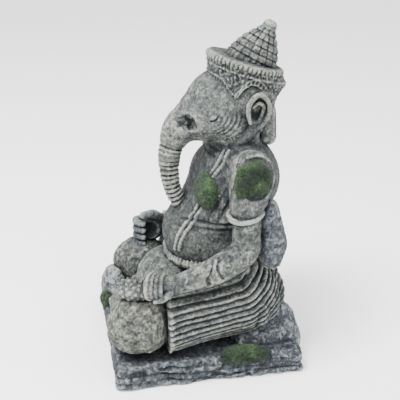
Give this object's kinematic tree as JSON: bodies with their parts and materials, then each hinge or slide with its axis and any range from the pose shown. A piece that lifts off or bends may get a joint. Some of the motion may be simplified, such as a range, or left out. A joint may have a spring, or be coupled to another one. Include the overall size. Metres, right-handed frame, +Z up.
{
  "type": "seated elephant-headed garden figure",
  "caption": "Seated elephant-headed figure with a tilted crown, free-hanging trunk and rock plinth, stone-look casting with moss patches.",
  "frame": {"origin": "middle of the footprint, on the ground plane", "axes": "+Z up, -Y the way the figure faces, +X to the figure's own left"},
  "size_m": [0.1096, 0.111, 0.1885],
  "materials": {
    "stone_grey": "matt cast stone-look, pitted",
    "stone_pale": "matt cast stone-look, pitted",
    "stone_dark": "matt cast stone-look, pitted",
    "stone_ochre": "matt cast stone-look, pitted",
    "moss": "short flocked moss"
  },
  "bodies": {
    "root": {"plinth": "stone_dark", "belly": "stone_grey", "chest": "stone_grey", "head": "stone_grey", "left_ear": "stone_grey", "right_ear": "stone_grey", "diadem_rim": "stone_grey", "crown_spire": "stone_grey", "spire_cap": "stone_grey", "diadem_band": "stone_grey", "trunk": "stone_grey", "left_tusk": "stone_grey", "right_tusk": "stone_grey", "jaw": "stone_grey", "neck": "stone_grey", "veil": "stone_grey", "left_knee": "stone_ochre", "right_knee": "stone_grey", "waist_belt": "stone_pale", "left_hip_sash": "stone_grey", "right_hip_sash": "stone_grey", "left_thigh": "stone_grey", "right_thigh": "stone_grey", "hips": "stone_grey", "lap_cloth": "stone_grey", "left_shin": "stone_grey", "right_shin": "stone_grey", "left_armlet": "stone_grey", "right_armlet": "stone_grey", "left_upper_arm": "stone_grey", "right_upper_arm": "stone_grey", "left_rear_arm": "stone_dark", "right_rear_arm": "stone_dark", "bracelet_front": "stone_ochre", "bracelet_back": "stone_ochre", "left_forearm": "stone_grey", "right_forearm": "stone_grey", "left_hand": "stone_grey", "right_hand": "stone_dark", "sweets": "stone_grey", "upper_thread": "stone_grey", "lower_thread": "stone_grey", "rear_rock_left": "stone_dark", "rear_rock_right": "stone_dark", "front_rock_right": "stone_dark", "front_rock_left": "stone_dark", "moss_shoulder": "moss", "moss_chest": "moss", "moss_plinth": "moss", "moss_rock": "moss"}
  },
  "joints": []
}
